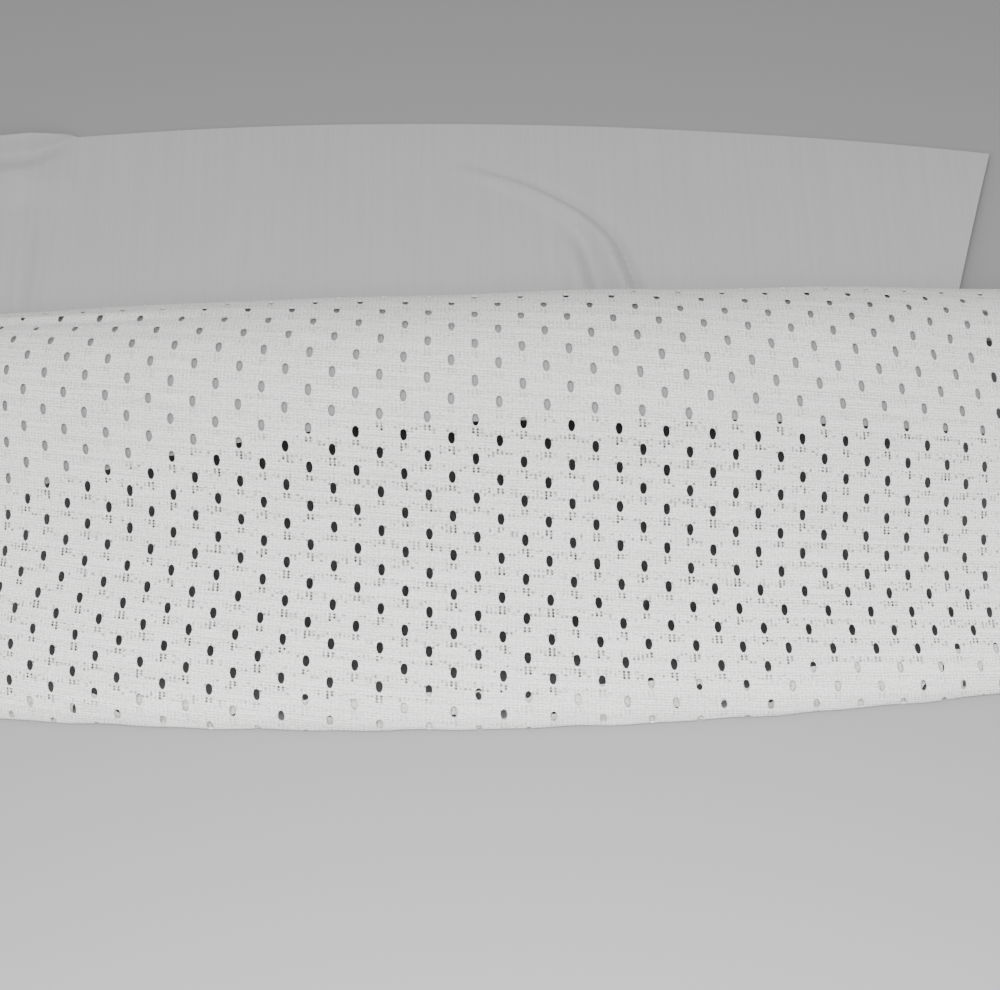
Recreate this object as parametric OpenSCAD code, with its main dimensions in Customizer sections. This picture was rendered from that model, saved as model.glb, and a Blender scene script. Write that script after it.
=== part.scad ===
// White eyelet sports mesh laid over a plain knit panel. The two are loosely folded together over
// a soft roll, lie on a table, and are joined along a lapped seam behind the roll.
// X runs along the fold, Y from the hem at the front to the panel's far edge, Z is up.
// The origin is at the middle of the footprint, on the surface that the cloth lies on.

/* [Fold] */
// Length of the mesh along the fold
band_l = 300; // [240:5:380]
// Depth from the middle of the hem's curl to the roll's axis
front_d = 78.9; // [65:0.1:105]
// How much nearer the hem comes to the roll's axis at each end
hem_bow = 8.8; // [4:0.1:12]
// Radius of the roll at its middle, to the middle of the mesh
roll_r = 24; // [18:1:29]
// How much smaller the roll's radius is at each end
end_ease = 2.5; // [0:0.1:4]
// Radius of the hollow curve where the roll's back meets the table
foot_r = 8; // [5:0.5:12]
// Angle past the roll's back at which that curve starts
foot_angle = 25; // [10:1:35]
// Thickness of the eyelet mesh
mesh_t = 0.8; // [0.5:0.1:1.2]

/* [Hem] */
// Radius in which the front curls under towards the hem
curl_r = 8; // [5:0.5:12]
// Angle, round from the rear, at which the curl ends in the hem's pressed fold
hem_tip = 165; // [150:1:175]
// Radius of the pressed fold, to the middle of the mesh
hem_r = 1.1; // [0.9:0.1:1.6]
// Length of the turned-up layer at the left end
turn_left = 5; // [3:0.5:10]
// Length of the turned-up layer at the right end
turn_right = 12; // [6:0.5:16]

/* [Plain panel] */
// Thickness of the plain knit
panel_t = 0.8; // [0.5:0.1:1.2]
// Depth from the roll's axis to the panel's far edge, at the middle
panel_d = 97.5; // [70:0.5:130]
// How far the far edge bows forward at each end
far_bow = 10; // [1:0.5:20]
// How much nearer the far edge is at the right end than at the left
far_skew = 13; // [0:0.5:20]
// Distance from the middle to the panel's left edge
panel_left = 150; // [110:1:190]
// Distance from the middle to the panel's right edge at the back
panel_right = 139; // [100:1:190]
// How far the right edge steps in on its way to the roll
right_slant = 16; // [0:0.5:20]
// Length of the panel's flap inside the fold, past the roll, at the middle
flap_mid = 9.5; // [5:0.5:15]
// Length of that flap at the panel's left edge
flap_left = 30; // [10:1:35]
// Length of that flap at the panel's right edge
flap_right = 17; // [10:1:30]
// Radius in which the flap draws away from the front
flap_r = 120; // [60:5:200]

/* [Seam] */
// Length of mesh that lies flat on the panel behind the roll
lap = 5; // [4:0.5:8]
// Distance from the mesh's rear edge to the stitches
stitch_in = 2; // [1.5:0.1:3]
// Spacing of the stitches
stitch_pitch = 3; // [2.5:0.5:6]
// Length of thread that shows on each stitch
stitch_l = 2; // [1.5:0.1:2.2]
// Diameter of the thread
thread_d = 0.4; // [0.3:0.05:0.6]
// Clear gap between the two cloths
ply_gap = 0.05; // [0.02:0.01:0.1]

/* [Hidden] */

seat = panel_t + ply_gap + mesh_t / 2;           // middle of the mesh above the table at the seam
ply = (mesh_t + panel_t) / 2 + ply_gap;          // from the middle of one cloth to the middle of the other
stations = 24;                                   // sections along the fold
turn_steps = 5;
hem_steps = 8;
curl_steps = 5;
front_steps = 3;
arc_steps = 22;
foot_steps = 8;
flap_steps = 4;
flat_steps = 3;
flap_level = 30;                                 // half of the length over which the flap is level
flap_sweep = 1.4;                                // how late the flap lengthens towards its ends

// The far edge is a parabola, so its rearmost point is worked out and the footprint is centred on it.
far_curve = far_bow / pow(panel_left, 2);
far_slope = far_skew / (panel_left + panel_right);
far_y_max = panel_d + pow(far_slope, 2) / (4 * far_curve);
hem_y_min = -front_d + (curl_r - hem_r) * cos(hem_tip) - hem_r - mesh_t / 2;
axis_y = -(far_y_max + hem_y_min) / 2;

function radius(x) = roll_r - end_ease * pow(2 * x / band_l, 2);
function turn(x) = turn_left + (turn_right - turn_left) * (x / band_l + 0.5);
function axis(x) = [0, seat + foot_r + (radius(x) + foot_r) * sin(foot_angle)];
function foot(x) = [(radius(x) + foot_r) * cos(foot_angle), seat + foot_r];
function hem(x) =
    [-front_d + hem_bow * pow(2 * x / band_l, 2), hem_r + mesh_t / 2 - (curl_r - hem_r) * sin(hem_tip)];
function lean(x) =
    let (run = axis(x) - hem(x))
    atan2(run[1], run[0]) + asin((radius(x) - curl_r) / norm(run));
function flap(x) =
    let (end = x < 0 ? panel_left : panel_right, far = x < 0 ? flap_left : flap_right)
    flap_mid + (far - flap_mid) * pow(max(0, (abs(x) - flap_level) / (end - flap_level)), flap_sweep);
function far_y(x) = panel_d - far_slope * x - far_curve * x * x;
function ray(a) = [cos(a), sin(a)];

// A point of a section: its place in the section, and the angle of the cloth's outward normal.
function spot(p, a) = [p[0], p[1], a];
function arc(centre, r, from, to, steps, flip = 0) =
    [for (i = [0:steps]) let (a = from + (to - from) * i / steps) spot(centre + r * ray(a), a + flip)];

// A point of the turned-up layer, at a length d of cloth from the pressed fold.
function turned_up(x, d) =
    let (
        r = curl_r - 2 * hem_r,
        sweep = min(d / r * 180 / PI, hem_tip - 90 - lean(x)),
        beyond = max(0, d - sweep * PI / 180 * r)
    )
    spot(hem(x) + r * ray(hem_tip - sweep) + beyond * ray(lean(x)), hem_tip - sweep + 180);

// The mesh's section at x, from the turned-up edge to the edge behind the roll.
function mesh_section(x) =
    let (
        out = 90 + lean(x),
        tip = hem(x) + (curl_r - hem_r) * ray(hem_tip),
        start = hem(x) + curl_r * ray(out),
        finish = axis(x) + radius(x) * ray(out)
    )
    concat(
        [for (i = [turn_steps:-1:1]) turned_up(x, turn(x) * i / turn_steps)],
        arc(tip, hem_r, hem_tip + 180, hem_tip + 180 / hem_steps, hem_steps - 1),
        arc(hem(x), curl_r, hem_tip, out, curl_steps),
        [for (i = [1:front_steps - 1]) spot(start + (finish - start) * i / front_steps, out)],
        arc(axis(x), radius(x), out, -foot_angle, arc_steps),
        arc(foot(x), foot_r, 180 - foot_angle, 270, foot_steps, -180),
        [spot([foot(x)[0] + lap, seat], 90)]
    );

// The panel's section at x, from the flap inside the fold to the start of its flat part.
function panel_section(x) =
    let (
        out = 90 + lean(x),
        r = radius(x) - ply,
        curl = axis(x) + (r - flap_r) * ray(out),
        curl_angle = flap(x) / flap_r * 180 / PI
    )
    concat(
        arc(curl, flap_r, out + curl_angle, out + curl_angle / flap_steps, flap_steps - 1),
        arc(axis(x), r, out, -foot_angle, arc_steps),
        arc(foot(x), foot_r + ply, 180 - foot_angle, 270, foot_steps, -180)
    );

// The panel's right edge steps in towards the roll, so x is worked out for each depth.
function panel_x(u, share) = -panel_left + (panel_left + panel_right - right_slant * (1 - share)) * u;
function panel_line(u) =
    let (x = panel_x(u, 0))
    concat(
        [for (s = panel_section(x)) [x, s]],
        [for (i = [1:flat_steps])
            let (share = i / flat_steps, wide = panel_x(u, share))
            [wide, spot([foot(x)[0] * (1 - share) + far_y(wide) * share, seat - ply], 90)]]
    );

function beside(x, s, d) = [x, axis_y + s[0] + d * cos(s[2]), s[1] + d * sin(s[2])];

// A closed ring of points round one line of a cloth of thickness t.
function ring(line, t) =
    let (n = len(line))
    concat(
        [for (i = [0:n - 1]) beside(line[i][0], line[i][1], t / 2)],
        [for (i = [n - 1:-1:0]) beside(line[i][0], line[i][1], -t / 2)]
    );

module sheet(rings) {
    count = len(rings);
    n = len(rings[0]);
    half = n / 2;
    last = (count - 1) * n;
    side = [for (i = [0:count - 2], j = [0:n - 1])
        let (a = i * n + j, b = i * n + (j + 1) % n) each [[a, b, b + n], [a, b + n, a + n]]];
    near_end = [for (j = [0:half - 2]) each [[j, n - 1 - j, n - 2 - j], [j, n - 2 - j, j + 1]]];
    far_end = [for (f = near_end) [last + f[0], last + f[2], last + f[1]]];
    polyhedron(points = [for (r = rings) each r], faces = concat(side, near_end, far_end), convexity = 10);
}

module eyelet_mesh() {
    color("white")
    sheet([for (i = [0:stations])
        let (x = band_l * (i / stations - 0.5))
        ring([for (s = mesh_section(x)) [x, s]], mesh_t)]);
}

module plain_panel() {
    color("gainsboro")
    sheet([for (i = [0:stations]) ring(panel_line(i / stations), panel_t)]);
}

// One stitch: a run of thread on the mesh, with its two legs down through both cloths.
module stitch() {
    top = seat + mesh_t / 2;
    low = panel_t / 4;
    translate([-stitch_l / 2, 0, top])
    rotate([0, 90, 0])
    cylinder(d = thread_d, h = stitch_l, $fn = 24);
    for (side = [-1, 1])
        translate([side * stitch_l / 2, 0, low]) {
            cylinder(d = thread_d, h = top - low, $fn = 24);
            translate([0, 0, top - low])
            sphere(d = thread_d, $fn = 24);
        }
}

module seam_thread() {
    reach = min(band_l / 2, panel_right - right_slant) - stitch_pitch;
    count = floor(reach / stitch_pitch);
    color("whitesmoke")
    for (i = [-count:count]) {
        x = i * stitch_pitch;
        translate([x, axis_y + foot(x)[0] + lap - stitch_in, 0])
        stitch();
    }
}

eyelet_mesh();
plain_panel();
seam_thread();
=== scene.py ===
"""A length of white eyelet sports mesh, loosely folded over a soft roll, sewn to a plain knit panel.

The cloth lies on a table. X runs along the fold, Y from the hem at the front to the plain panel's
far edge, and Z is up. Lengths are in metres, apart from the cloth's UV maps, which are in
millimetres of flat cloth.
"""

import logging
import math
from dataclasses import dataclass, field
from enum import Enum

import bmesh
import bpy
import numpy as np
from mathutils import Matrix, Vector


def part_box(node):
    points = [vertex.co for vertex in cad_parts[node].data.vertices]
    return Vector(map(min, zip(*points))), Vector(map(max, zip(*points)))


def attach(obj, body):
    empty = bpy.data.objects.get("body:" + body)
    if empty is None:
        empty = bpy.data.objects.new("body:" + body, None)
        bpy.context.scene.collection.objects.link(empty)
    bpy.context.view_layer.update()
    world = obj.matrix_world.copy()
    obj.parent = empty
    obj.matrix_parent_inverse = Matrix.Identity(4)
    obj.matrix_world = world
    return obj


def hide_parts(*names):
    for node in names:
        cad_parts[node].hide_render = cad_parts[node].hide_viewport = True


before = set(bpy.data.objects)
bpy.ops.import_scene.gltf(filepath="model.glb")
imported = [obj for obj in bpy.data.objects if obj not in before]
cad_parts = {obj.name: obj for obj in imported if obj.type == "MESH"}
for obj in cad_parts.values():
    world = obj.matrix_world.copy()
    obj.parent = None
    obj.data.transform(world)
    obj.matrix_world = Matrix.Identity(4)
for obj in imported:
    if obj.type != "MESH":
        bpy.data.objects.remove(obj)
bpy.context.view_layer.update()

LOG = logging.getLogger("cloth")
MM = 0.001
BODY = "root"


class Slot(Enum):
    """The record's material slot names for the two cloths, which this script does not assign."""

    MESH = "mesh_knit"
    PANEL = "panel_knit"


def ramp(value: np.ndarray) -> np.ndarray:
    """Smooth step from 0 to 1 as value goes from 0 to 1."""
    c = np.clip(value, 0.0, 1.0)
    return c * c * (3 - 2 * c)


# ---------------------------------------------------------------- shader helpers


class Shader:
    """Builds one material's node tree with short calls."""

    def __init__(self, name: str) -> None:
        """Starts an empty material with a Principled surface.

        Args:
            name: The material's name.
        """
        self.material = bpy.data.materials.new(name)
        self.material.use_nodes = True
        self.tree = self.material.node_tree
        self.surface = self.tree.nodes["Principled BSDF"]

    def node(self, kind: str, **settings: object) -> bpy.types.Node:
        """Adds a node and sets its properties."""
        made = self.tree.nodes.new(kind)
        for key, value in settings.items():
            setattr(made, key, value)
        return made

    def feed(self, socket: bpy.types.NodeSocket, value: object) -> None:
        """Links an output to a socket, or sets the socket's own value."""
        if isinstance(value, bpy.types.NodeSocket):
            self.tree.links.new(value, socket)
        else:
            socket.default_value = value

    def math(self, operation: str, *values: object, clamp: bool = False) -> bpy.types.NodeSocket:
        """One Math node.

        Args:
            operation: The node's operation.
            values: Its inputs, numbers or outputs of other nodes.
            clamp: Whether the result is held between 0 and 1.

        Returns:
            The node's output.
        """
        made = self.node("ShaderNodeMath", operation=operation, use_clamp=clamp)
        for socket, value in zip(made.inputs, values):
            self.feed(socket, value)
        return made.outputs[0]

    def fade(self, value: object, low: float, high: float) -> bpy.types.NodeSocket:
        """Smooth step of value from low (0) to high (1), or downwards where low is the larger."""
        made = self.node("ShaderNodeMapRange", interpolation_type="SMOOTHSTEP")
        swap = low > high
        ends = (high, low, 1.0, 0.0) if swap else (low, high, 0.0, 1.0)
        self.feed(made.inputs["Value"], value)
        for name, end in zip(("From Min", "From Max", "To Min", "To Max"), ends):
            made.inputs[name].default_value = end
        return made.outputs["Result"]

    def uv(self, layer: str) -> tuple[bpy.types.NodeSocket, bpy.types.NodeSocket]:
        """The two coordinates of a UV map, in millimetres."""
        split = self.node("ShaderNodeSeparateXYZ")
        self.feed(split.inputs[0], self.node("ShaderNodeUVMap", uv_map=layer).outputs[0])
        return split.outputs[0], split.outputs[1]

    def noise(self, across: object, along: object, detail: float = 2.0) -> bpy.types.NodeSocket:
        """Noise over two coordinates that are already scaled."""
        join = self.node("ShaderNodeCombineXYZ")
        self.feed(join.inputs[0], across)
        self.feed(join.inputs[1], along)
        made = self.node("ShaderNodeTexNoise")
        made.inputs["Scale"].default_value = 1.0
        made.inputs["Detail"].default_value = detail
        self.feed(made.inputs["Vector"], join.outputs[0])
        return made.outputs["Fac"]

    def chance(self, across: object, along: object) -> bpy.types.NodeSocket:
        """A random number for each whole pair of coordinates."""
        join = self.node("ShaderNodeCombineXYZ")
        self.feed(join.inputs[0], self.math("FLOOR", across))
        self.feed(join.inputs[1], self.math("FLOOR", along))
        made = self.node("ShaderNodeTexWhiteNoise", noise_dimensions="2D")
        self.feed(made.inputs["Vector"], join.outputs[0])
        return made.outputs["Value"]

    def wave(self, value: object, period: float) -> bpy.types.NodeSocket:
        """A sine from 0 to 1 with the given period."""
        turn = self.math("MULTIPLY", value, 2 * math.pi / period)
        return self.math("MULTIPLY_ADD", self.math("SINE", turn), 0.5, 0.5)

    def blend(self, share: object, low: tuple, high: tuple) -> bpy.types.NodeSocket:
        """A colour between low and high."""
        made = self.node("ShaderNodeMix", data_type="RGBA")
        self.feed(made.inputs["Factor"], share)
        for name, value in (("A", low), ("B", high)):
            socket = [s for s in made.inputs if s.name == name and s.type == "RGBA"][0]
            self.feed(socket, value if isinstance(value, bpy.types.NodeSocket) else (*value, 1.0))
        return [s for s in made.outputs if s.type == "RGBA"][0]

    def bump(self, height: object, depth: float, strength: float) -> None:
        """Bumps the surface.

        Args:
            height: The height from 0 to 1.
            depth: How deep 0 to 1 is, in metres.
            strength: How strongly it shows.
        """
        made = self.node("ShaderNodeBump")
        made.inputs["Strength"].default_value = strength
        made.inputs["Distance"].default_value = depth
        self.feed(made.inputs["Height"], height)
        self.feed(self.surface.inputs["Normal"], made.outputs[0])

    def finish(self, color: object, roughness: float, sheen: float = 0.0) -> bpy.types.Material:
        """Sets the surface's colour, roughness and sheen, and returns the material."""
        self.feed(self.surface.inputs["Base Color"],
                  color if isinstance(color, bpy.types.NodeSocket) else (*color, 1.0))
        self.surface.inputs["Roughness"].default_value = roughness
        self.surface.inputs["Sheen Weight"].default_value = sheen
        self.surface.inputs["Sheen Roughness"].default_value = 0.5
        self.surface.inputs["Specular IOR Level"].default_value = 0.25
        return self.material


# ---------------------------------------------------------------- finishes


@dataclass(frozen=True)
class EyeletKnit:
    """White warp knit: course lines beside the eyelets, and dotted bands of pinholes under them,
    painted as near-black dots for the shade seen through them.
    """

    white: tuple = (0.85, 0.86, 0.835)
    shade: tuple = (0.46, 0.485, 0.455)
    # painted shade: the near-black colour of the space seen through each pinhole
    pinhole_shade: tuple = (0.02, 0.03, 0.025)
    wale: float = 1.005
    course: float = 0.75
    dot_x: float = 1.12
    dot_y: float = 0.75
    dot_r: float = 0.29
    first_dot: float = 2.4
    # how much lighter the painted pinhole shade gets where a layer of cloth lies behind
    backed: float = 0.72
    course_plain: float = 0.14
    course_beside: float = 0.26
    tick_plain: float = 0.70
    tick_beside: float = -0.42
    grain_weight: float = 0.42
    soft_weight: float = 0.12
    streak_weight: float = 0.20
    odds_under: float = 0.96
    odds_third: float = -0.62
    odds_side: float = 0.34
    odds_first: float = -0.16

    def build(self, cell: "Eyelets") -> bpy.types.Material:
        """Makes the material.

        Args:
            cell: The eyelets' spacing, which places the pinholes.

        Returns:
            The material.
        """
        s = Shader("eyelet_knit")
        across, along = s.uv("cloth")
        x, y = s.uv("cell")
        column = s.math("ROUND", s.math("DIVIDE", s.math("SUBTRACT", across, x), cell.pitch / 2))
        row = s.math("ROUND", s.math("DIVIDE", s.math("SUBTRACT", along, y), cell.row))
        own = self.dots(s, x, y, column, row)
        above_x = s.math("MULTIPLY_ADD", s.math("SIGN", x), -cell.pitch / 2, x)
        above = self.dots(s, above_x, s.math("SUBTRACT", y, cell.row), column,
                          s.math("ADD", row, 0.5))
        holes = s.math("MAXIMUM", own, above)
        beside = s.fade(s.math("ABSOLUTE", s.math("ADD", y, 0.2)), 2.1, 1.1)
        drift = s.noise(s.math("DIVIDE", across, 26.0), s.math("DIVIDE", along, 12.0))
        courses = s.wave(s.math("MULTIPLY_ADD", drift, 1.2, along), self.course)
        wales = s.wave(across, self.wale)
        firm = s.noise(s.math("DIVIDE", across, 11.0), s.math("DIVIDE", along, 0.8))
        lines = s.math("MULTIPLY", s.math("MULTIPLY", courses, s.fade(firm, 0.25, 0.7)),
                       s.math("MULTIPLY_ADD", beside, self.course_beside, self.course_plain))
        ticks = s.math("MULTIPLY", s.math("MULTIPLY", wales, s.wave(along, self.dot_y)),
                       s.math("MULTIPLY_ADD", beside, self.tick_beside, self.tick_plain))
        mottle = s.noise(s.math("DIVIDE", across, 0.8), s.math("DIVIDE", along, 0.5))
        streak = s.noise(s.math("DIVIDE", across, 60.0), s.math("DIVIDE", along, 0.95))
        soft = s.noise(s.math("DIVIDE", across, 30.0), s.math("DIVIDE", along, 30.0))
        grain = s.math("MULTIPLY_ADD", s.fade(mottle, 0.40, 0.62), self.grain_weight,
                       s.math("MULTIPLY", soft, self.soft_weight))
        tone = s.math("ADD", s.math("ADD", lines, ticks),
                      s.math("MULTIPLY_ADD", s.fade(streak, 0.62, 0.34), self.streak_weight, grain),
                      clamp=True)
        cloth = s.blend(tone, self.white, self.shade)
        # painted shade in the pinholes, made lighter where the panel's flap or the turned-up hem lies
        # behind
        backed, _ = s.uv("behind")
        seen = s.math("MULTIPLY", holes, s.math("MULTIPLY_ADD", backed, -self.backed, 1.0))
        color = s.blend(seen, cloth, self.pinhole_shade)
        relief = s.math("ADD", s.math("MULTIPLY", wales, 0.4), s.math("MULTIPLY", courses, 0.6))
        s.bump(s.math("SUBTRACT", relief, holes), 0.12 * MM, 0.6)
        return s.finish(color, 0.85, 0.12)

    def dots(self, s: Shader, x: object, y: object, column: object, row: object) -> object:
        """The pinholes that belong to one eyelet.

        Args:
            s: The material's shader.
            x: Place across, from the eyelet's middle.
            y: Place along, from the eyelet's middle.
            column: The eyelet's number along its row, which varies the pinholes.
            row: The eyelet's row.

        Returns:
            How much of a pinhole each point is, from 0 to 1.
        """
        grid_x = s.math("MULTIPLY_ADD", x, 1 / self.dot_x, 0.5)
        grid_y = s.math("MULTIPLY_ADD", y, -1 / self.dot_y, -self.first_dot / self.dot_y)
        whole_x, whole_y = s.math("ROUND", grid_x), s.math("ROUND", grid_y)
        off_x = s.math("MULTIPLY", s.math("SUBTRACT", grid_x, whole_x), self.dot_x)
        off_y = s.math("MULTIPLY", s.math("SUBTRACT", grid_y, whole_y), self.dot_y)
        apart = s.math("SQRT", s.math("ADD", s.math("MULTIPLY", off_x, off_x),
                                      s.math("MULTIPLY", off_y, off_y)))
        dot = s.fade(apart, self.dot_r * 1.5, self.dot_r * 0.85)
        band = s.math("MULTIPLY", s.math("GREATER_THAN", grid_y, -0.5),
                      s.math("LESS_THAN", grid_y, 2.5))
        luck = s.chance(s.math("MULTIPLY_ADD", column, 13.0, whole_x),
                        s.math("MULTIPLY_ADD", row, 34.0, whole_y))
        under = s.math("LESS_THAN", s.math("ABSOLUTE", x), self.dot_x)
        third = s.math("GREATER_THAN", grid_y, 1.5)
        first = s.math("LESS_THAN", grid_y, 0.5)
        odds_under = s.math("MULTIPLY_ADD", third, self.odds_third, self.odds_under)
        odds_side = s.math("MULTIPLY_ADD", first, self.odds_first, self.odds_side)
        odds = s.math("ADD", s.math("MULTIPLY", under, odds_under),
                      s.math("MULTIPLY", s.math("SUBTRACT", 1.0, under), odds_side))
        there = s.math("LESS_THAN", luck, odds)
        weight = s.math("ADD", s.math("MULTIPLY", under, s.math("MULTIPLY_ADD", luck, 1.05, 0.27)),
                        s.math("MULTIPLY_ADD", luck, -1.5, 0.73))
        return s.math("MULTIPLY", s.math("MULTIPLY", dot, band), s.math("MULTIPLY", there, weight))


@dataclass(frozen=True)
class RibbedKnit:
    """Smooth white knit with fine ribs that run from front to back."""

    white: tuple = (0.425, 0.423, 0.42)
    shade: tuple = (0.365, 0.365, 0.368)
    rib: float = 0.75
    course: float = 0.6

    def build(self) -> bpy.types.Material:
        """Makes the material."""
        s = Shader("ribbed_knit")
        across, along = s.uv("cloth")
        ribs, courses = s.wave(across, self.rib), s.wave(along, self.course)
        streak = s.noise(s.math("DIVIDE", across, 1.5), s.math("DIVIDE", along, 60.0))
        soft = s.noise(s.math("DIVIDE", across, 22.0), s.math("DIVIDE", along, 22.0))
        lines = s.math("ADD", s.math("MULTIPLY", ribs, 0.4),
                       s.math("MULTIPLY", s.fade(streak, 0.3, 0.7), 0.3))
        tone = s.math("MULTIPLY_ADD", soft, 0.3, lines)
        color = s.blend(tone, self.white, self.shade)
        relief = s.math("ADD", ribs, s.math("MULTIPLY", courses, 0.35))
        s.bump(relief, 0.06 * MM, 0.45)
        return s.finish(color, 0.62, 0.25)


@dataclass(frozen=True)
class SewingThread:
    """White polyester thread with a fine twist."""

    light: tuple = (0.84, 0.84, 0.82)
    dark: tuple = (0.62, 0.62, 0.60)
    twist: float = 0.35

    def build(self) -> bpy.types.Material:
        """Makes the material."""
        s = Shader("sewing_thread")
        place = s.node("ShaderNodeTexCoord").outputs["Object"]
        split = s.node("ShaderNodeSeparateXYZ")
        s.feed(split.inputs[0], place)
        skew = s.math("ADD", split.outputs[0], s.math("MULTIPLY", split.outputs[1], 0.9))
        strands = s.wave(skew, self.twist * MM)
        s.bump(strands, 0.05 * MM, 0.6)
        return s.finish(s.blend(strands, self.dark, self.light), 0.5, 0.2)


@dataclass(frozen=True)
class TableTop:
    """Plain pale floor."""

    color: tuple = (0.27, 0.27, 0.275)

    def build(self) -> bpy.types.Material:
        """Makes the material."""
        return Shader("floor").finish(self.color, 0.9)


# ---------------------------------------------------------------- the eyelet mesh


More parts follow.
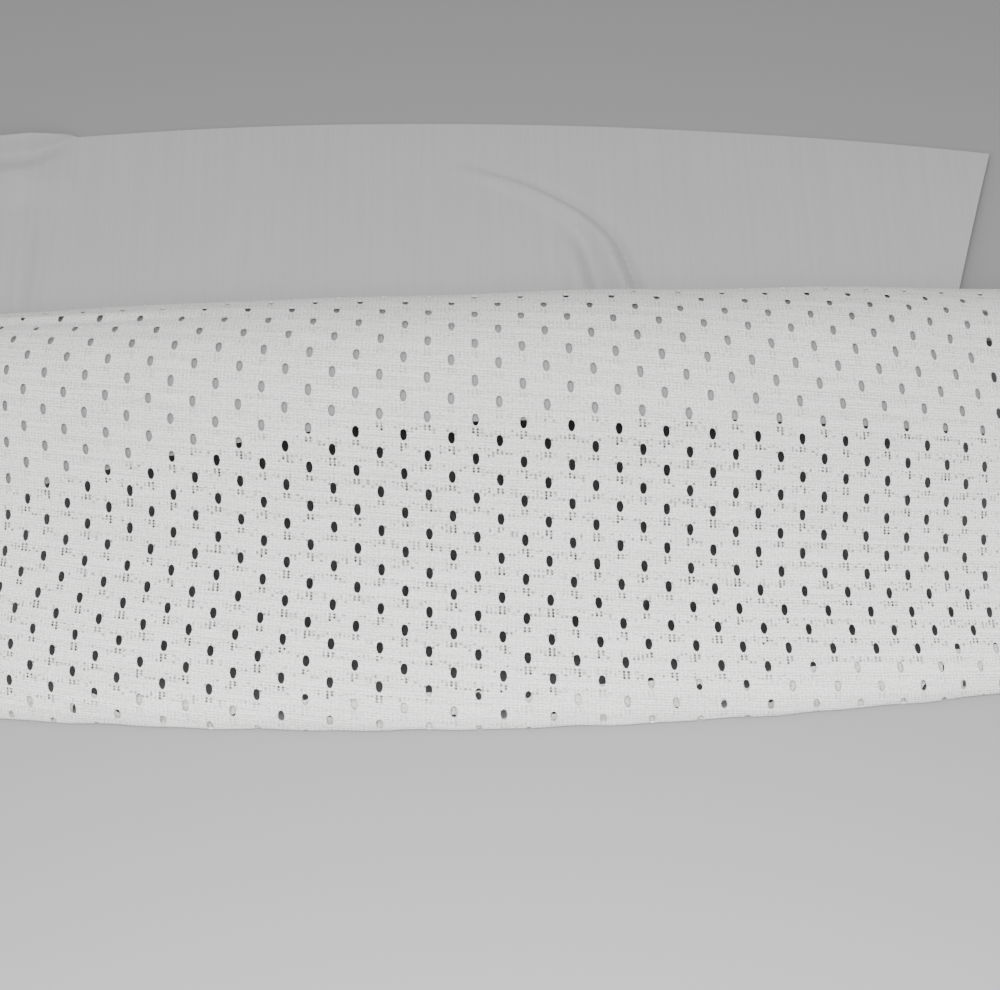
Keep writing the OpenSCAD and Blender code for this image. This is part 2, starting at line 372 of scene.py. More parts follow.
@dataclass(frozen=True)
class Eyelets:
    """The eyelets' spacing and size, in millimetres of flat cloth. Alternate rows are staggered."""

    pitch: float = 12.06
    row: float = 4.9
    width: float = 1.8
    height: float = 2.95
    taper: float = 0.14
    full: float = 0.7
    ring: int = 12
    columns: int = 33
    rows: int = 57
    uneven: float = 0.07
    seed: int = 7

    def tile(self) -> bpy.types.Object:
        """One cell of flat cloth round an eyelet, as a grid with an oval hole in its middle."""
        bm = bmesh.new()
        step_x, step_y = self.pitch / 8, self.row / 4
        grid = {}
        for i in range(-4, 5):
            for j in range(-2, 3):
                if abs(i) > 0 or abs(j) == 2:
                    grid[i, j] = bm.verts.new((i * step_x * MM, j * step_y * MM, 0))
        for i in (-4, -3, -2, 1, 2, 3):
            for j in range(-2, 2):
                bm.faces.new([grid[i, j], grid[i + 1, j], grid[i + 1, j + 1], grid[i, j + 1]])
        border = [(1, 0), (1, 1), (1, 2), (0, 2), (-1, 2), (-1, 1),
                  (-1, 0), (-1, -1), (-1, -2), (0, -2), (1, -2), (1, -1)]
        angles = [0, 36, 66, 90, 114, 144, 180, 216, 246, 270, 294, 324]
        rim = [bm.verts.new(self.rim(math.radians(a))) for a in angles]
        for k in range(self.ring):
            after = (k + 1) % self.ring
            bm.faces.new([rim[k], grid[border[k]], grid[border[after]], rim[after]])
        mesh = bpy.data.meshes.new("eyelet_cell")
        bm.to_mesh(mesh)
        bm.free()
        mark = mesh.attributes.new("rim", "FLOAT", "POINT")
        half = (self.height / 2 + 0.05) * MM
        flags = [float(math.hypot(v.co.x / self.width * self.height, v.co.y) < half)
                 for v in mesh.vertices]
        mark.data.foreach_set("value", flags)
        return bpy.data.objects.new("eyelet_cell", mesh)

    def rim(self, angle: float) -> tuple[float, float, float]:
        """A point of the eyelet's rim, which is full at the top and narrower at the bottom."""
        level = math.sin(angle)
        narrow = 1 - self.taper * max(0.0, -level)
        side = math.copysign(abs(math.cos(angle)) ** self.full, math.cos(angle))
        return side * narrow * self.width / 2 * MM, level * self.height / 2 * MM, 0.0

    def tree(self) -> bpy.types.NodeTree:
        """The node tree that lays the cells out in staggered rows."""
        group = bpy.data.node_groups.new("eyelet_rows", "GeometryNodeTree")
        sockets = (("Geometry", "NodeSocketGeometry"), ("Cell", "NodeSocketObject"),
                   ("Pitch", "NodeSocketFloat"), ("Row", "NodeSocketFloat"),
                   ("Columns", "NodeSocketInt"), ("Rows", "NodeSocketInt"),
                   ("Uneven", "NodeSocketFloat"), ("Seed", "NodeSocketInt"),
                   ("Knit", "NodeSocketMaterial"))
        for name, kind in sockets:
            group.interface.new_socket(name, in_out="INPUT", socket_type=kind)
        group.interface.new_socket("Geometry", in_out="OUTPUT", socket_type="NodeSocketGeometry")
        nodes, link = group.nodes, group.links.new

        def add(kind: str, **settings: object) -> bpy.types.Node:
            """Adds a node and sets its properties."""
            made = nodes.new(kind)
            for key, value in settings.items():
                setattr(made, key, value)
            return made

        def calc(operation: str, *values: object) -> bpy.types.NodeSocket:
            """One Math node's output."""
            made = add("ShaderNodeMath", operation=operation)
            for socket, value in zip(made.inputs, values):
                if isinstance(value, bpy.types.NodeSocket):
                    link(value, socket)
                else:
                    socket.default_value = value
            return made.outputs[0]

        given = add("NodeGroupInput").outputs
        grid = add("GeometryNodeMeshGrid")
        link(calc("MULTIPLY", calc("SUBTRACT", given["Columns"], 1), given["Pitch"]),
             grid.inputs["Size X"])
        depth = calc("MULTIPLY", calc("SUBTRACT", given["Rows"], 1), given["Row"])
        link(depth, grid.inputs["Size Y"])
        link(given["Columns"], grid.inputs["Vertices X"])
        link(given["Rows"], grid.inputs["Vertices Y"])
        split = add("ShaderNodeSeparateXYZ")
        link(add("GeometryNodeInputPosition").outputs[0], split.inputs[0])
        from_first = calc("ADD", split.outputs[1], calc("MULTIPLY", depth, 0.5))
        number = calc("ROUND", calc("DIVIDE", from_first, given["Row"]))
        stagger = calc("MULTIPLY", calc("FLOORED_MODULO", number, 2.0),
                       calc("MULTIPLY", given["Pitch"], 0.5))
        shift = add("ShaderNodeCombineXYZ")
        link(stagger, shift.inputs[0])
        place = add("GeometryNodeSetPosition")
        link(grid.outputs["Mesh"], place.inputs["Geometry"])
        link(shift.outputs[0], place.inputs["Offset"])
        cell = add("GeometryNodeObjectInfo")
        link(given["Cell"], cell.inputs["Object"])
        copies = add("GeometryNodeInstanceOnPoints")
        link(place.outputs[0], copies.inputs["Points"])
        link(cell.outputs["Geometry"], copies.inputs["Instance"])
        real = add("GeometryNodeRealizeInstances")
        link(copies.outputs[0], real.inputs[0])
        merge = add("GeometryNodeMergeByDistance")
        merge.inputs["Distance"].default_value = 0.02 * MM
        link(real.outputs[0], merge.inputs["Geometry"])
        noise = add("ShaderNodeTexNoise", noise_dimensions="4D")
        noise.inputs["Scale"].default_value = 420.0
        link(given["Seed"], noise.inputs["W"])
        centred = add("ShaderNodeVectorMath", operation="SUBTRACT")
        centred.inputs[1].default_value = (0.5, 0.5, 0.5)
        link(noise.outputs["Color"], centred.inputs[0])
        sized = add("ShaderNodeVectorMath", operation="MULTIPLY")
        link(centred.outputs[0], sized.inputs[0])
        flat = add("ShaderNodeCombineXYZ")
        spread = calc("MULTIPLY", given["Uneven"], 6.0)
        link(spread, flat.inputs[0])
        link(spread, flat.inputs[1])
        link(flat.outputs[0], sized.inputs[1])
        rim = add("GeometryNodeInputNamedAttribute", data_type="FLOAT")
        rim.inputs["Name"].default_value = "rim"
        wobble = add("GeometryNodeSetPosition")
        link(merge.outputs[0], wobble.inputs["Geometry"])
        on_rim = calc("GREATER_THAN", rim.outputs["Attribute"], 0.5)
        link(on_rim, wobble.inputs["Selection"])
        link(sized.outputs[0], wobble.inputs["Offset"])
        dress = add("GeometryNodeSetMaterial")
        link(wobble.outputs[0], dress.inputs["Geometry"])
        link(given["Knit"], dress.inputs["Material"])
        link(dress.outputs[0], add("NodeGroupOutput").inputs[0])
        return group

    def flat_cloth(self, knit: bpy.types.Material) -> bpy.types.Mesh:
        """The flat cloth with all its eyelets, as one plain mesh.

        Args:
            knit: The cloth's material.

        Returns:
            The mesh, centred on an eyelet.
        """
        tile = self.tile()
        bpy.context.scene.collection.objects.link(tile)
        holder = bpy.data.objects.new("flat_cloth", bpy.data.meshes.new("flat_cloth"))
        bpy.context.scene.collection.objects.link(holder)
        modifier = holder.modifiers.new("rows", "NODES")
        modifier.node_group = self.tree()
        ids = {item.name: item.identifier for item in modifier.node_group.interface.items_tree
               if item.in_out == "INPUT"}
        values = {"Cell": tile, "Pitch": self.pitch * MM, "Row": self.row * MM,
                  "Columns": self.columns, "Rows": self.rows, "Uneven": self.uneven * MM,
                  "Seed": self.seed, "Knit": knit}
        for name, value in values.items():
            modifier[ids[name]] = value
        bpy.context.view_layer.update()
        seen = holder.evaluated_get(bpy.context.evaluated_depsgraph_get())
        mesh = bpy.data.meshes.new_from_object(seen)
        bpy.data.objects.remove(holder)
        bpy.data.objects.remove(tile)
        return mesh


@dataclass
class FoldPath:
    """The fold's section: hem, sloping front, roll, and the hollow foot behind it. Millimetres."""

    front_d: float = 78.9
    hem_bow: float = 8.8
    roll_r: float = 24.0
    end_ease: float = 2.5
    foot_r: float = 8.0
    foot_angle: float = 25.0
    curl_r: float = 8.0
    hem_tip: float = 165.0
    hem_r: float = 1.1
    cad_thick: float = 0.8
    gap: float = 0.05
    ends: float = 150.0
    axis_y: float = 0.0

    def __post_init__(self) -> None:
        """Takes the fold's length and place from the frame."""
        low, high = (np.array(corner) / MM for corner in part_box("eyelet_mesh"))
        self.ends = float(high[0])
        self.tip = math.radians(self.hem_tip)
        reach = (self.curl_r - self.hem_r) * math.cos(self.tip)
        self.axis_y = float(low[1]) + self.front_d - reach + self.hem_r + self.cad_thick / 2
        self.ply = self.cad_thick + self.gap
        self.seat = self.ply + self.cad_thick / 2

    def radius(self, x: np.ndarray) -> np.ndarray:
        """The roll's radius at x."""
        return self.roll_r - self.end_ease * (x / self.ends) ** 2

    def axis(self, x: np.ndarray) -> np.ndarray:
        """The roll's axis at x, as Y and Z."""
        rise = (self.radius(x) + self.foot_r) * math.sin(math.radians(self.foot_angle))
        return np.stack([np.zeros_like(x), self.seat + self.foot_r + rise], 1)

    def foot(self, x: np.ndarray) -> np.ndarray:
        """The centre of the hollow curve behind the roll at x, as Y and Z."""
        back = (self.radius(x) + self.foot_r) * math.cos(math.radians(self.foot_angle))
        return np.stack([back, np.full_like(x, self.seat + self.foot_r)], 1)

    def hem(self, x: np.ndarray) -> np.ndarray:
        """The middle of the hem's curl at x, as Y and Z."""
        front = -self.front_d + self.hem_bow * (x / self.ends) ** 2
        low = self.hem_r + self.cad_thick / 2 - (self.curl_r - self.hem_r) * math.sin(self.tip)
        return np.stack([front, np.full_like(x, low)], 1)

    def lean(self, x: np.ndarray) -> np.ndarray:
        """The angle of the front at x, in radians."""
        run = self.axis(x) - self.hem(x)
        far = np.hypot(run[:, 0], run[:, 1])
        return np.arctan2(run[:, 1], run[:, 0]) + np.arcsin((self.radius(x) - self.curl_r) / far)

    def front(self, x: np.ndarray) -> np.ndarray:
        """The length of the straight front at x."""
        run = self.axis(x) - self.hem(x)
        return np.sqrt((run**2).sum(1) - (self.radius(x) - self.curl_r) ** 2)

    def space(self, x: np.ndarray, spots: np.ndarray, angle: np.ndarray) -> tuple:
        """Points and outward normals in space from places in the section."""
        normal = np.stack([np.zeros_like(x), np.cos(angle), np.sin(angle)], 1)
        return np.stack([x, self.axis_y + spots[:, 0], spots[:, 1]], 1), normal


def ray(angle: np.ndarray) -> np.ndarray:
    """Unit vectors in the section at the given angles."""
    return np.stack([np.cos(angle), np.sin(angle)], 1)


@dataclass
class EyeletCloth:
    """The eyelet mesh from its turned-up hem to its lap behind the roll. Millimetres.

    The fields from first_q to tighten say where the rows of eyelets come on the folded cloth. Most
    come from a least-squares fit to where the real cloth's eyelets lie, rounded afterwards.
    """

    path: FoldPath
    turn_left: float = 5.0
    turn_right: float = 12.0
    lap: float = 5.0
    thick: float = 0.42
    first_q: float = 36.65
    row_drop: float = 0.088
    row_bow: float = 4e-5
    ease: float = 4.14e-6
    ease_to: float = 133.0
    fan: float = 0.00034
    slant: float = 0.0106
    pull: float = 0.00017
    skew: float = 0.000079
    sway: float = 0.0106
    sway_length: float = 12.0
    tighten: float = 0.0043
    drawn_rows: float = 60.0
    held_from: float = 125.0
    held_over: float = 30.0
    hem_wave: float = 0.25
    eyelets: Eyelets = field(default_factory=Eyelets)

    def __post_init__(self) -> None:
        """Works out the lengths of the section's stretches at its middle."""
        p = self.path
        middle = np.zeros(1)
        self.hem_arc = p.curl_r * (p.tip - float(p.lean(middle)[0]) - math.pi / 2)
        self.fold_arc = math.pi * p.hem_r
        self.to_roll = float(p.front(middle)[0])
        wrap = float(p.lean(middle)[0]) + math.pi / 2 + math.radians(p.foot_angle)
        self.to_foot = self.to_roll + p.roll_r * wrap
        self.to_lap = self.to_foot + p.foot_r * math.radians(90 + p.foot_angle)
        self.total = self.to_lap + self.lap

    def place_x(self, s: np.ndarray, t: np.ndarray) -> np.ndarray:
        """Where a point of flat cloth comes along the fold. The cloth is eased in towards its ends."""
        near = np.minimum(np.abs(s), self.ease_to)
        slope = 1 - 3 * self.ease * self.ease_to**2
        x = near - self.ease * near**3 + slope * (np.abs(s) - near)
        t = np.clip(t, -self.drawn_rows, self.drawn_rows)
        drawn = self.slant * t - self.pull * s * t - self.skew * s**2
        drawn += (self.tighten - self.sway * np.cos(t / self.sway_length)) * s
        held = 1 - ramp((np.abs(s) - self.held_from) / self.held_over)
        return np.sign(s) * x * (1 - self.fan * t) + drawn * held

    def rise(self, s: np.ndarray) -> np.ndarray:
        """How far a row of eyelets rises up the front by s along it."""
        return self.row_bow * s**2 - self.row_drop * s

    def bend(self, x: np.ndarray, q: np.ndarray) -> tuple[np.ndarray, np.ndarray]:
        """Places points of the cloth in space.

        Args:
            x: Place along the fold.
            q: Distance along the section from the top of the hem's curl, up the front.

        Returns:
            The points, and the cloth's outward normals there.
        """
        p = self.path
        lean = p.lean(x)
        out = lean + math.pi / 2
        radius = p.radius(x)
        angle = np.minimum(out + np.maximum(-q, 0) / p.curl_r, p.tip)
        spots = p.hem(x) + p.curl_r * ray(angle)
        spots += ray(lean) * (np.clip(q / self.to_roll, 0, 1) * p.front(x))[:, None]
        down = -q - p.curl_r * (p.tip - out)
        under = down > 0
        fold = p.tip + np.clip(down / p.hem_r, 0, math.pi)
        folded = p.hem(x) + (p.curl_r - p.hem_r) * ray(p.tip + 0 * x) + p.hem_r * ray(fold)
        spots[under], angle[under] = folded[under], fold[under]
        up = down - self.fold_arc
        inner = p.curl_r - 2 * p.hem_r
        sweep = np.clip(up / inner, 0, p.tip - out)
        turned_up = p.hem(x) + inner * ray(p.tip - sweep)
        turned_up += ray(lean) * (up - sweep * inner)[:, None]
        back = up > 0
        spots[back], angle[back] = turned_up[back], (p.tip - sweep + math.pi)[back]
        turned = q - self.to_roll
        wrap = (out + math.radians(p.foot_angle)) * turned / (self.to_foot - self.to_roll)
        over = q > self.to_roll
        rolled = p.axis(x) + radius[:, None] * ray(out - wrap)
        spots[over], angle[over] = rolled[over], (out - wrap)[over]
        behind = q > self.to_foot
        swing = np.clip((q - self.to_foot) / p.foot_r, 0, math.radians(90 + p.foot_angle))
        hollow = math.radians(180 - p.foot_angle) + swing
        footed = p.foot(x) + p.foot_r * ray(hollow)
        footed[:, 0] += np.maximum(q - self.to_lap, 0)
        spots[behind], angle[behind] = footed[behind], (hollow - math.pi)[behind]
        return p.space(x, spots, angle)

    def relief(self, x: np.ndarray, q: np.ndarray) -> np.ndarray:
        """How far the cloth stands off its smooth path: soft waves, and a ridge near the fold."""
        roll = ramp((q - self.to_roll * 0.85) / 30)
        waves = 0.35 * np.sin(x / 17 + q / 41) * np.sin(x / 47 - 1.1) + 0.2 * np.sin(x / 9.5 + q / 23)
        crest = self.to_roll + self.path.roll_r * 1.15 - (x + self.path.ends) * 0.02
        left = ramp((-x - 40) / 60)
        ridge = 0.5 * np.exp(-(((q - crest) / 1.3) ** 2)) - 0.5 * np.exp(
            -(((q - crest + 3.2) / 1.6) ** 2))
        held = ramp((q - 2) / 12) * (1 - ramp((q - self.to_lap + 14) / 12))
        ripple = np.sin(x / 4.1 + 0.7) * np.sin(x / 13.3) - 0.8
        edge = self.hem_wave * ripple * (1 - ramp((q + 4) / 12))
        return (waves * (0.1 + 0.6 * roll) + ridge * left) * held + edge

    def flat_half(self) -> float:
        """Half the length of the flat cloth."""
        slope = 1 - 3 * self.ease * self.ease_to**2
        eased = self.ease_to - self.ease * self.ease_to**3
        return self.ease_to + (self.path.ends - eased) / slope

    def cut(self, mesh: bpy.types.Mesh) -> bmesh.types.BMesh:
        """Trims the flat cloth to its outline, with closer rows of points where it turns sharply.

        Args:
            mesh: The flat cloth in its own directions.

        Returns:
            The trimmed cloth, with distance along the rows as X and along the section as Y.
        """
        bm = bmesh.new()
        bm.from_mesh(mesh)
        for vert in bm.verts:
            s, t = vert.co.x / MM, vert.co.y / MM
            vert.co = (s, self.first_q + t + self.rise(s), 0)
        middle_turn = (self.turn_left + self.turn_right) / 2
        tilt = (self.turn_right - self.turn_left) / (2 * self.flat_half())
        sides = [((self.flat_half(), 0, 0), (1, 0, 0)), ((-self.flat_half(), 0, 0), (-1, 0, 0)),
                 ((0, self.total, 0), (0, 1, 0)),
                 ((0, -self.hem_arc - self.fold_arc - middle_turn, 0), (-tilt, -1, 0))]
        for place, way in sides:
            everything = bm.verts[:] + bm.edges[:] + bm.faces[:]
            bmesh.ops.bisect_plane(bm, geom=everything, plane_co=place, plane_no=way,
                                   clear_outer=True, dist=1e-4)
        fold = np.linspace(-self.hem_arc - self.fold_arc - 0.5, -self.hem_arc + 0.5, 12)
        closer = list(fold) + list(np.linspace(self.to_foot, self.to_lap, 9))
        for q in closer:
            near = [f for f in bm.faces if abs(f.calc_center_median().y - q) < 4]
            parts = list({e for f in near for e in f.edges} | {v for f in near for v in f.verts})
            bmesh.ops.bisect_plane(bm, geom=parts + near, plane_co=(0, q, 0), plane_no=(0, 1, 0),
                                   dist=1e-4)
        return bm

    def maps(self, bm: bmesh.types.BMesh, panel: "PlainPanel") -> None:
        """Gives the cloth its UV maps: over it all, within each eyelet's cell, and what lies behind.

        Args:
            bm: The flat cloth.
            panel: The panel, which lies behind the mesh down to the edge of its flap.
        """
        names = ("cloth", "cell", "behind")
        cloth, cell, behind = (bm.loops.layers.uv.new(name) for name in names)
        across = np.array([v.co.x for v in bm.verts])
        along = np.array([v.co.y for v in bm.verts])
        from_flap = along - self.to_roll + panel.flap(across)
        turn = self.turn_left + (self.turn_right - self.turn_left) * (across / self.path.ends + 1) / 2
        from_turn = along - turn + self.hem_arc
        # backed: where a layer of cloth lies behind the mesh, which lightens the painted pinhole shade
        backed = np.maximum(ramp(from_flap / 2 + 0.5), 1 - ramp(from_turn / 2 + 0.5))
        e = self.eyelets
        half_rows = (e.rows - 1) / 2
        first_s = -(e.columns - 1) / 2 * e.pitch
        for face in bm.faces:
            mid = face.calc_center_median()
            t_mid = mid.y - self.first_q - self.rise(mid.x)
            number = round(t_mid / e.row + half_rows)
            start = first_s + (number % 2) * e.pitch / 2
            centre_t = (number - half_rows) * e.row
            centre_s = round((mid.x - start) / e.pitch) * e.pitch + start
            for loop in face.loops:
                loop[behind].uv = (backed[loop.vert.index], 0.0)
                s = loop.vert.co.x
                t = loop.vert.co.y - self.first_q - self.rise(s)
                loop[cloth].uv = (s, t)
                loop[cell].uv = (s - centre_s, t - centre_t)

    def build(self, knit: bpy.types.Material, panel: "PlainPanel") -> bpy.types.Object:
        """Builds the folded cloth.

        Args:
            knit: The cloth's material.
            panel: The panel that lies behind part of it.

        Returns:
            The finished piece.
        """
        bm = self.cut(self.eyelets.flat_cloth(knit))
        bm.verts.index_update()
        self.maps(bm, panel)
        flat = np.array([v.co[:] for v in bm.verts])
        t = flat[:, 1] - self.first_q - self.rise(flat[:, 0])
        x = np.clip(self.place_x(flat[:, 0], t), -self.path.ends, self.path.ends)
        place, normal = self.bend(x, flat[:, 1])
        place += normal * self.relief(x, flat[:, 1])[:, None]
        for vert, spot in zip(bm.verts, place):
            vert.co = spot * MM
        bm.normal_update()
        top = max(bm.faces, key=lambda f: f.calc_center_median().z)
        if top.normal.z < 0:
            bmesh.ops.reverse_faces(bm, faces=bm.faces)
        mesh = bpy.data.meshes.new("eyelet_cloth")
        bm.to_mesh(mesh)
        bm.free()
        mesh.materials.append(knit)
        return thicken("eyelet_cloth", mesh, self.thick)


def thicken(name: str, mesh: bpy.types.Mesh, thick: float) -> bpy.types.Object:
    """Gives a sheet its thickness, half to each side, with crisp cut edges.

    Args:
        name: The piece's name.
        mesh: The sheet, in metres.
        thick: Its thickness in millimetres.

    Returns:
        The piece, in the scene.
    """
    holder = bpy.data.objects.new(name, mesh)
    bpy.context.scene.collection.objects.link(holder)
    solid = holder.modifiers.new("thickness", "SOLIDIFY")
    solid.thickness = thick * MM
    solid.offset = 0
    bpy.context.view_layer.update()
    seen = holder.evaluated_get(bpy.context.evaluated_depsgraph_get())
    done = bpy.data.meshes.new_from_object(seen)
    holder.modifiers.remove(solid)
    holder.data = done
    done.name = name
    done.shade_smooth()
    done.set_sharp_from_angle(angle=math.radians(52))
    return holder


# ---------------------------------------------------------------- the plain panel


@dataclass(frozen=True)
class Crease:
    """A soft ridge along points given as X and distance behind the roll's axis. Millimetres."""

    spots: tuple
    high: float
    wide: float


@dataclass
class PlainPanel:
    """The plain knit panel: its flap inside the fold, round the roll, then flat behind. Millimetres."""

    path: FoldPath
    panel_d: float = 97.5
    far_bow: float = 10.0
    far_skew: float = 13.0
    right_slant: float = 16.0
    flap_mid: float = 9.5
    flap_left: float = 30.0
    flap_right: float = 17.0
    flap_r: float = 260.0
    room: float = 1.5
    flap_level: float = 30.0
    thick: float = 0.55
    hump: float = 2.6
    rest: float = 0.3
    columns: int = 270
    creases: tuple = (
        Crease(((-17, 86), (-4, 82), (10, 76), (24, 66), (32, 57), (37, 40)), 2.7, 2.1),
        Crease(((19, 62), (23, 52), (26, 38)), 2.2, 3.0),
        Crease(((-120, 84), (-123, 74), (-126, 64), (-128, 40)), 1.3, 2.8),
    )
    corner_from: float = 116.0
    corner_over: float = 13.0
    corner_high: float = 4.4
    corner_dip: float = 3.0

    def __post_init__(self) -> None:
        """Takes the panel's sides from the frame."""
        low, high = (np.array(corner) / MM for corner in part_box("plain_panel"))
        self.left, self.right = float(low[0]), float(high[0])

    def far_y(self, x: np.ndarray) -> np.ndarray:
        """The far edge, from the roll's axis."""
        slope = self.far_skew / (self.right - self.left)
        return self.panel_d - slope * x - self.far_bow * (x / self.left) ** 2

    def flap(self, x: np.ndarray) -> np.ndarray:
        """The length of the flap inside the fold at x."""
        end = np.where(x < 0, -self.left, self.right)
        far = np.where(x < 0, self.flap_left, self.flap_right)
        out = np.maximum(0, (np.abs(x) - self.flap_level) / (end - self.flap_level))
        return self.flap_mid + (far - self.flap_mid) * out**1.4

    def place_x(self, u: np.ndarray, share: float) -> np.ndarray:
        """X at a share u of the width, at a share of the depth from the roll to the far edge."""
        return self.left + (self.right - self.left - self.right_slant * (1 - share)) * u

    def rolled(self, x: np.ndarray) -> list[tuple]:
        """Lines of places and angles from the flap's edge to the foot behind the roll."""
        p = self.path
        out = p.lean(x) + math.pi / 2
        r = p.radius(x) - p.ply
        curl = p.axis(x) + (r - self.room - self.flap_r)[:, None] * ray(out)
        back = math.radians(p.foot_angle)
        lines = []
        for share in np.linspace(1, 0, 12)[:-1]:
            angle = out + share * self.flap(x) / self.flap_r
            lines.append((curl + self.flap_r * ray(angle), angle))
        for share in np.linspace(0, 1, 30):
            angle = out - share * (out + back)
            near = r - self.room * (1 - share) ** 1.5
            lines.append((p.axis(x) + near[:, None] * ray(angle), angle))
        for share in np.linspace(0, 1, 15)[1:]:
            angle = math.pi - back + share * (math.pi / 2 + back) + 0 * x
            lines.append((p.foot(x) + (p.foot_r + p.ply) * ray(angle), angle - math.pi))
        return lines

    def height(self, x: np.ndarray, back: np.ndarray) -> np.ndarray:
        """How far the flat part stands off the table: a soft hump, creases and a lifted corner."""
        free = ramp((back - 31) / 11)
        hump = self.hump * (1 - ramp((back - 45) / 50))
        long, short, side = (self.crease(x, back, crease) for crease in self.creases)
        edge = back - self.far_y(x)
        tip = np.clip((-x - self.corner_from) / self.corner_over, 0.02, 1)
        curl = self.corner_high * np.sqrt(tip) * ramp(edge / (5 * tip) + 1)
        dip = self.corner_dip * tip * ramp((edge + 24) / 12) * (1 - ramp((edge + 6) / 6 + tip))
        corner = (curl + dip) * ramp((-x - 114) / 4)
        swell = 0.35 * np.sin(x / 31 + 0.6) * np.sin(back / 19)
        high = (hump + long + short + side + swell) * free + corner
        return (high + np.sqrt(high**2 + self.rest**2)) / 2

    def crease(self, x: np.ndarray, back: np.ndarray, crease: Crease) -> np.ndarray:
        """A crease's share of the panel's height.

        Args:
            x: Places along the fold.
            back: Places behind the roll's axis.
            crease: The crease.

        Returns:
            The ridge's height at each place.
        """
        wide = crease.wide
        line = np.array(crease.spots, float)
        far = np.concatenate([[0], np.cumsum(np.hypot(*np.diff(line, axis=0).T))])
        along = np.linspace(0, far[-1], 120)
        fine = np.stack([np.interp(along, far, line[:, k]) for k in (0, 1)], 1)
        for _ in range(60):
            fine[1:-1] = (fine[:-2] + fine[2:] + 2 * fine[1:-1]) / 4
        way = np.gradient(fine, axis=0)
        way /= np.hypot(way[:, 0], way[:, 1])[:, None]
        nearest = np.hypot(x[:, None] - fine[None, :, 0], back[:, None] - fine[None, :, 1]).argmin(1)
        gap = np.stack([x, back], 1) - fine[nearest]
        signed = gap[:, 1] * way[nearest, 0] - gap[:, 0] * way[nearest, 1]
        beyond = (gap * way[nearest]).sum(1)
        fade = ramp(nearest / (0.55 * len(fine))) * np.exp(-((beyond / (3 * wide)) ** 2))
        ridge = np.exp(-(((signed + 0.8 * wide) / wide) ** 2))
        trough = np.exp(-(((signed - 0.9 * wide) / (0.8 * wide)) ** 2))
        return crease.high * fade * (ridge - 0.8 * trough)

    def build(self, knit: bpy.types.Material) -> bpy.types.Object:
        """Builds the panel.

        Args:
            knit: The panel's material.

        Returns:
            The finished piece.
        """
        p = self.path
        u = np.linspace(0, 1, self.columns)
        x = self.place_x(u, 0.0)
        rows = [p.space(x, spots, angle)[0] for spots, angle in self.rolled(x)]
        foot = p.foot(x)[:, 0]
        for share in np.linspace(0, 1, 106)[1:]:
            wide = self.place_x(u, share)
            back = foot * (1 - share) + self.far_y(wide) * share
            level = p.seat - p.ply + self.height(wide, back)
            rows.append(np.stack([wide, p.axis_y + back, level], 1))
        grid = np.array(rows)
        steps = np.linalg.norm(np.diff(grid, axis=0), axis=2)
        depth = np.concatenate([np.zeros((1, self.columns)), np.cumsum(steps, axis=0)])
        level = np.stack([grid[:, :, 0], depth - depth[len(rows) // 2]], 2).reshape(-1, 2)
        n = self.columns
        faces = [(r * n + c, r * n + c + 1, (r + 1) * n + c + 1, (r + 1) * n + c)
                 for r in range(len(rows) - 1) for c in range(n - 1)]
        mesh = bpy.data.meshes.new("plain_cloth")
        mesh.from_pydata((grid.reshape(-1, 3) * MM).tolist(), [], faces)
        layer = mesh.uv_layers.new(name="cloth")
        corners = np.array([loop.vertex_index for loop in mesh.loops])
        layer.data.foreach_set("uv", level[corners].ravel())
        mesh.materials.append(knit)
        self.cut_length = float(depth[-1].max())
        return thicken("plain_cloth", mesh, self.thick)


# ---------------------------------------------------------------- the setting


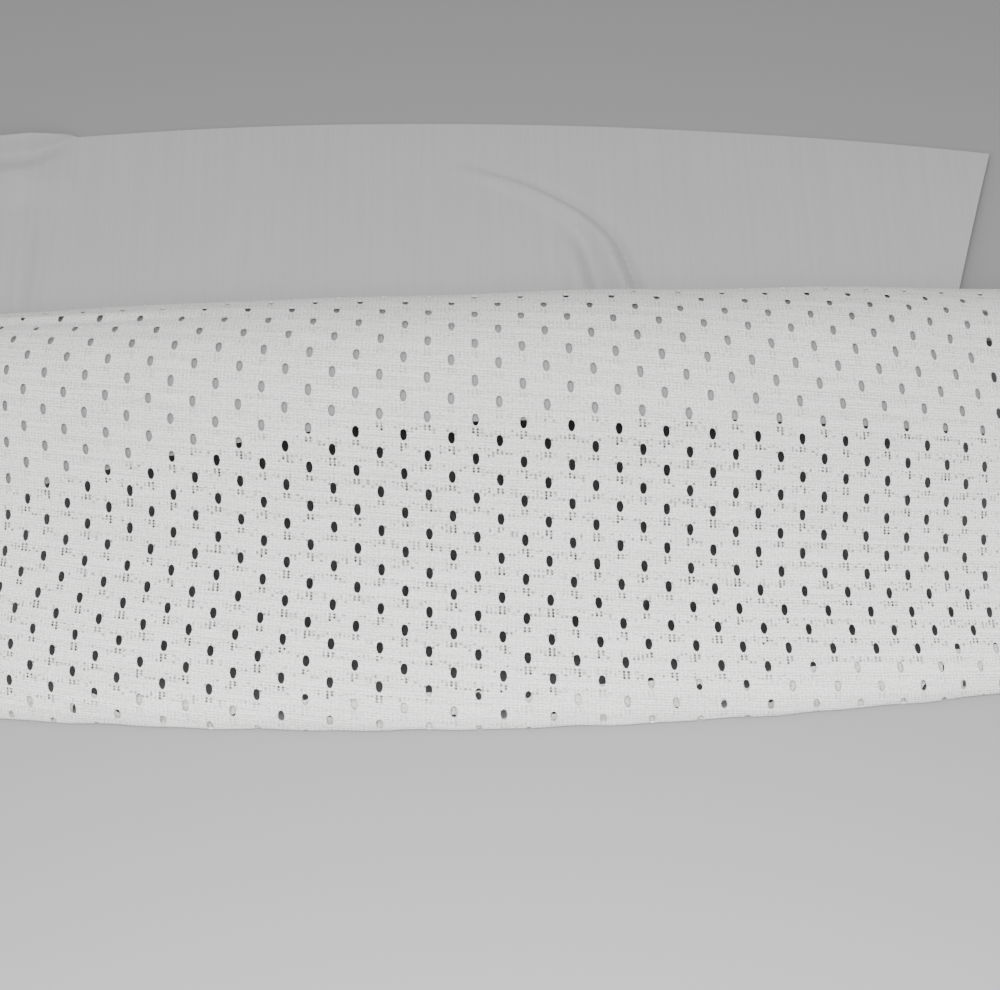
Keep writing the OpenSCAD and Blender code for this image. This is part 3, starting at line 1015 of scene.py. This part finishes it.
@dataclass(frozen=True)
class Setting:
    """The floor, the lights and the camera.

    The camera's lengths are in millimetres, and the floor's and the lights' are in metres.
    """

    reach: float = 700.0
    seen: float = 250.0
    sensor: float = 36.0
    middle_up: float = 52.5
    turn: float = 1.5
    floor_half: float = 6.0
    key_power: float = 8.2
    key_size: float = 0.5
    key_spread: float = 112
    key_place: tuple = (0.0, -0.38, 0.56)
    key_aim: tuple = (0.0, -0.52, 0.0)
    fill_power: float = 2.5
    fill_size: float = 0.7
    fill_place: tuple = (-0.5, -0.6, 0.8)
    fill_aim: tuple = (0, 0, 0.02)
    room_light: float = 0.86

    def floor(self) -> None:
        """A plain pale floor."""
        mesh = bpy.data.meshes.new("floor")
        size = self.floor_half
        mesh.from_pydata([(-size, -size, 0), (size, -size, 0), (size, size, 0), (-size, size, 0)],
                         [], [(0, 1, 2, 3)])
        mesh.materials.append(TableTop().build())
        top = bpy.data.objects.new("floor", mesh)
        bpy.context.scene.collection.objects.link(top)

    def place(self, name: str, lamp: bpy.types.Light, place: tuple, aim: tuple) -> None:
        """Puts a light in the scene.

        Args:
            name: Its name.
            lamp: The light.
            place: Where it is, in metres.
            aim: The point it faces.
        """
        spot = bpy.data.objects.new(name, lamp)
        way = Vector(aim) - Vector(place)
        turned = way.to_track_quat("-Z", "Y").to_matrix().to_4x4()
        spot.matrix_world = Matrix.Translation(place) @ turned
        bpy.context.scene.collection.objects.link(spot)

    def lights(self) -> None:
        """A soft key from above that fades towards the rear, a weak fill, and a dim room."""
        key = bpy.data.lights.new("key", "AREA")
        key.shape = "DISK"
        key.size = self.key_size
        key.spread = math.radians(self.key_spread)
        key.energy = self.key_power
        self.place("key", key, self.key_place, self.key_aim)
        fill = bpy.data.lights.new("fill", "AREA")
        fill.shape = "DISK"
        fill.size = self.fill_size
        fill.energy = self.fill_power
        self.place("fill", fill, self.fill_place, self.fill_aim)
        world = bpy.data.worlds.new("room")
        world.use_nodes = True
        world.node_tree.nodes["Background"].inputs[0].default_value = (1, 1, 1, 1)
        world.node_tree.nodes["Background"].inputs[1].default_value = self.room_light
        bpy.context.scene.world = world

    def camera(self, path: FoldPath) -> None:
        """A camera square to the sloping front.

        Args:
            path: The fold that the camera faces.
        """
        middle = np.zeros(1)
        lean = float(path.lean(middle)[0])
        up = Vector((0, math.cos(lean), math.sin(lean)))
        away = Vector((0, math.sin(lean), -math.cos(lean)))
        hem_y, hem_z = path.hem(middle)[0]
        curl = Vector((0, path.axis_y + hem_y, hem_z))
        target = (curl + up * self.middle_up - away * path.curl_r) * MM
        lens = bpy.data.cameras.new("camera")
        lens.sensor_width = self.sensor
        lens.lens = self.sensor * self.reach / self.seen
        lens.clip_start = 0.01
        eye = bpy.data.objects.new("camera", lens)
        tilt = Matrix.Rotation(math.radians(-self.turn), 3, "Z")
        basis = Matrix((Vector((1, 0, 0)), up, -away)).transposed() @ tilt
        eye.matrix_world = Matrix.Translation(target - away * self.reach * MM) @ basis.to_4x4()
        bpy.context.scene.collection.objects.link(eye)
        bpy.context.scene.camera = eye


def main() -> None:
    """Builds the cloth pieces, dresses them and sets the scene."""
    logging.basicConfig(level=logging.INFO, format="%(message)s")
    setting = Setting()
    path = FoldPath()
    setting.camera(path)
    fold, panel = EyeletCloth(path), PlainPanel(path)
    cloth = fold.build(EyeletKnit().build(fold.eyelets), panel)
    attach(cloth, BODY)
    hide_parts("eyelet_mesh")
    LOG.info("eyelet cloth: %d faces", len(cloth.data.polygons))

    plain = panel.build(RibbedKnit().build())
    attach(plain, BODY)
    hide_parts("plain_panel")
    LOG.info("plain cloth: %d faces", len(plain.data.polygons))

    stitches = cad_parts["seam_thread"]
    stitches.data.materials.clear()
    stitches.data.materials.append(SewingThread().build())

    wide = 2 * fold.flat_half() * MM
    setting.floor()
    setting.lights()


if __name__ == "__main__":
    main()
